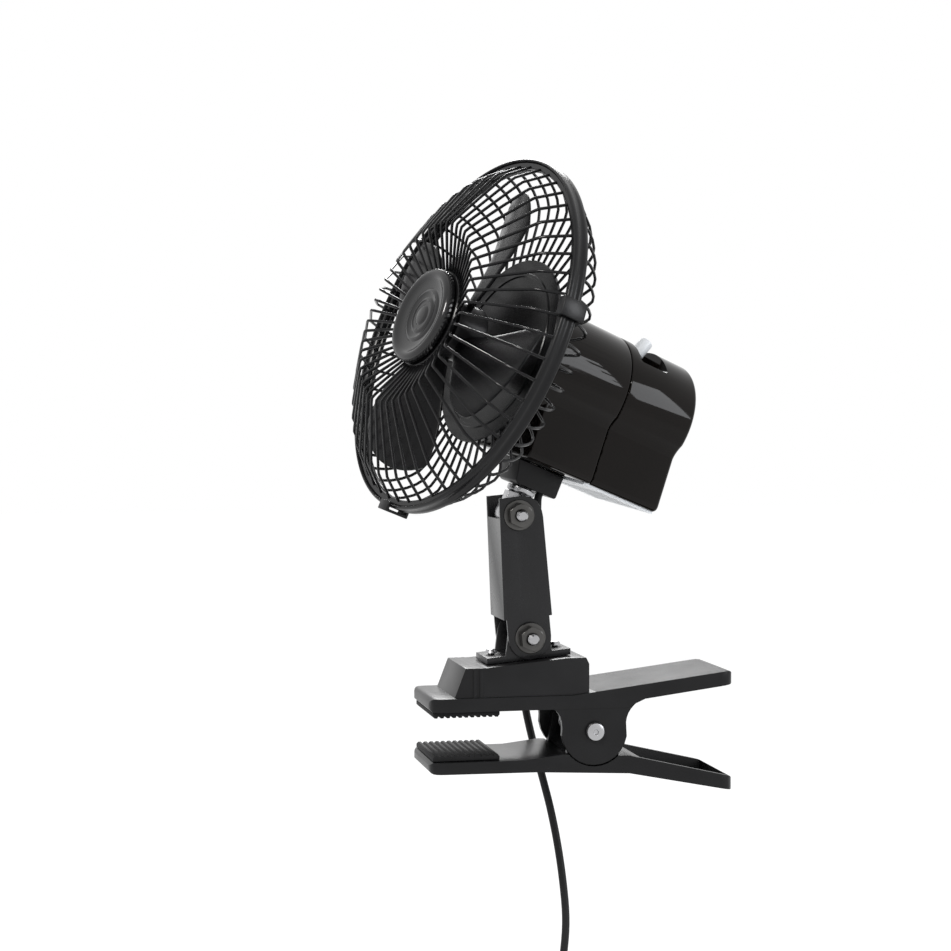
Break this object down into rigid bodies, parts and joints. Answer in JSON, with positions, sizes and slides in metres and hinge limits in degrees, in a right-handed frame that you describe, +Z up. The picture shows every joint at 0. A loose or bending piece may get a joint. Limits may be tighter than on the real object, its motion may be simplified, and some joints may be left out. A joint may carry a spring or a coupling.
{
  "type": "clip fan",
  "caption": "Clip fan: spring clamp with handles, tilting channel arm, swinging motor head in a ribbed round guard, free cord with a tied coil and plug.",
  "frame": {"origin": "Centre of the upper jaw pad's underside, the face that rests on the board.", "axes": "+X points along the clamp from the jaws' tips to the handles, so the head looks towards -X at no swing; +Z is up, away from the board; +Y completes the right-handed frame, towards the side where the cord leaves."},
  "size_m": [0.1816, 0.1752, 0.535],
  "materials": {
    "black_plastic": "fine satin moulding",
    "gloss_black": "high gloss",
    "guard_black": "satin",
    "black_rubber": "matt",
    "painted_steel": "satin black paint",
    "zinc": "bright zinc plating",
    "steel": "plain steel",
    "copper_wire": "enamelled copper wire",
    "bearing_brass": "plain brass",
    "pale_plastic": "pale grey satin"
  },
  "bodies": {
    "clamp": {"upper_lever": "black_plastic", "upper_pad": "black_rubber", "pivot_pin": "zinc", "pivot_clip": "zinc", "clamp_spring": "steel", "base_bracket": "painted_steel", "bracket_screw_front": "zinc", "bracket_screw_rear": "zinc", "cord_gland": "black_rubber", "lead_base": "black_rubber", "power_cord": "black_rubber", "cord_coil": "black_rubber", "cord_tie": "black_plastic", "far_lead": "black_rubber", "plug": "black_rubber", "plug_pin_left": "zinc", "plug_pin_right": "zinc"},
    "jaw": {"lower_lever": "black_plastic", "lower_pad": "black_rubber"},
    "arm": {"arm_channel": "painted_steel", "lower_bolt": "zinc", "lower_washer": "steel", "lower_nut": "steel", "lead_arm": "black_rubber", "upper_bolt": "zinc", "upper_washer": "steel", "upper_nut": "steel", "near_spacer": "zinc", "far_spacer": "zinc"},
    "stem": {"tilt_stem": "zinc", "lead_upper": "black_rubber"},
    "head": {"front_housing": "gloss_black", "rear_cover": "gloss_black", "underside_plate": "pale_plastic", "swing_block": "black_plastic", "lead_grommet": "black_rubber", "front_guard": "guard_black", "rear_guard": "guard_black", "rim_band": "black_plastic", "rim_clip_side": "black_plastic", "rim_clip_bottom": "black_plastic", "badge": "black_plastic", "stator": "steel", "stator_cradle": "black_plastic", "winding_front": "copper_wire", "winding_rear": "copper_wire", "front_bearing": "bearing_brass", "rear_bearing": "bearing_brass", "front_bracket": "zinc", "rear_bracket": "zinc", "wheel_post": "zinc"},
    "fan": {"fan_blade": "black_plastic", "spinner_nut": "steel", "motor_shaft": "steel", "rotor_core": "steel", "worm": "bearing_brass"},
    "wheel": {"worm_wheel": "pale_plastic"},
    "knob": {"swing_knob": "pale_plastic"},
    "switch": {"speed_switch": "pale_plastic"}
  },
  "joints": [
    {"name": "jaw_hinge", "type": "hinge", "parent": "clamp", "child": "jaw", "pos_m": [0.0627, 0, -0.0082], "axis": [0, -1, 0], "range_deg": [-12.5, 26], "stiffness_Nm_per_rad": 4},
    {"name": "arm_tilt", "type": "hinge", "parent": "clamp", "child": "arm", "pos_m": [0.0328, 0, 0.0367], "axis": [0, 1, 0], "range_deg": [-35, 30]},
    {"name": "head_tilt", "type": "hinge", "parent": "arm", "child": "stem", "pos_m": [0.02716, 0, 0.09633], "axis": [0, 1, 0], "range_deg": [-52, 30]},
    {"name": "head_swing", "type": "hinge", "parent": "stem", "child": "head", "pos_m": [0.02716, 0, 0.09633], "axis": [0.3746, 0, 0.9272], "range_deg": [-52, 18]},
    {"name": "fan_spin", "type": "hinge", "parent": "head", "child": "fan", "pos_m": [0.05339, 0, 0.16124], "axis": [-0.8867, -0.2924, 0.3582], "continuous": true},
    {"name": "wheel_spin", "type": "hinge", "parent": "head", "child": "wheel", "pos_m": [0.07898, 0.02088, 0.1509], "axis": [0.3746, 0, 0.9272], "continuous": true},
    {"name": "knob_slide", "type": "slide", "parent": "head", "child": "knob", "axis": [0.6795, 0.1095, 0.7255], "range_m": [-0.004, 0]},
    {"name": "switch_slide", "type": "slide", "parent": "head", "child": "switch", "axis": [0.3746, 0, 0.9272], "range_m": [0, 0.008]}
  ],
  "couplings": [
    {"joint": "wheel_spin", "follows": "fan_spin", "ratio": 0.071429}
  ]
}
